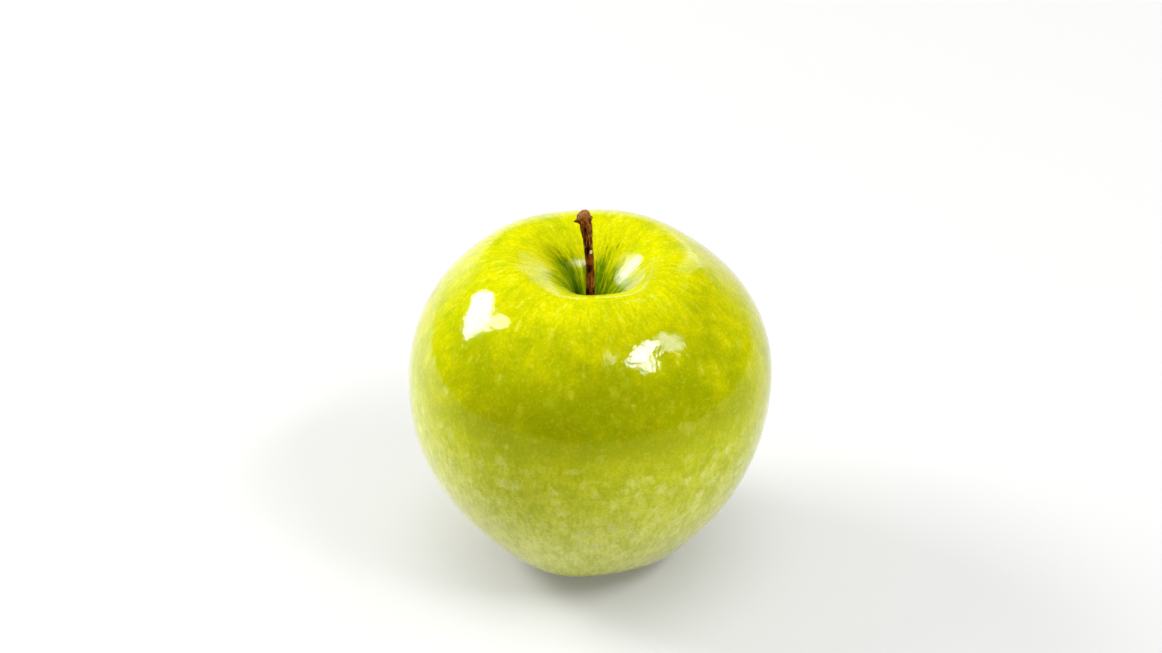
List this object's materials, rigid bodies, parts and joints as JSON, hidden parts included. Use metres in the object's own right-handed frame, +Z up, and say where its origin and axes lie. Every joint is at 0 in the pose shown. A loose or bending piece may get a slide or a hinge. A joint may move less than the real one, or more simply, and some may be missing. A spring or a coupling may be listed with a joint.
{
  "type": "apple",
  "caption": "Fresh green apple with a hollow round its stem, a lobed base it stands on, a short brown stem and a withered calyx.",
  "frame": {"origin": "on the resting plane, under the middle of the apple's footprint", "axes": "+Z up, out of the stem end; -Y is the front and +X the right as seen from the front; the front is the side on which the stem's tip leans left and away"},
  "size_m": [0.0762, 0.076, 0.0808],
  "materials": {
    "green_skin": "glossy, waxed and polished",
    "brown_stem": "dry bark, matte",
    "withered_calyx": "dry and matte"
  },
  "bodies": {
    "root": {"fruit": "green_skin", "stem": "brown_stem", "sepal_1": "withered_calyx", "sepal_2": "withered_calyx", "sepal_3": "withered_calyx", "sepal_4": "withered_calyx", "sepal_5": "withered_calyx", "withered_stamens": "withered_calyx"}
  },
  "joints": []
}
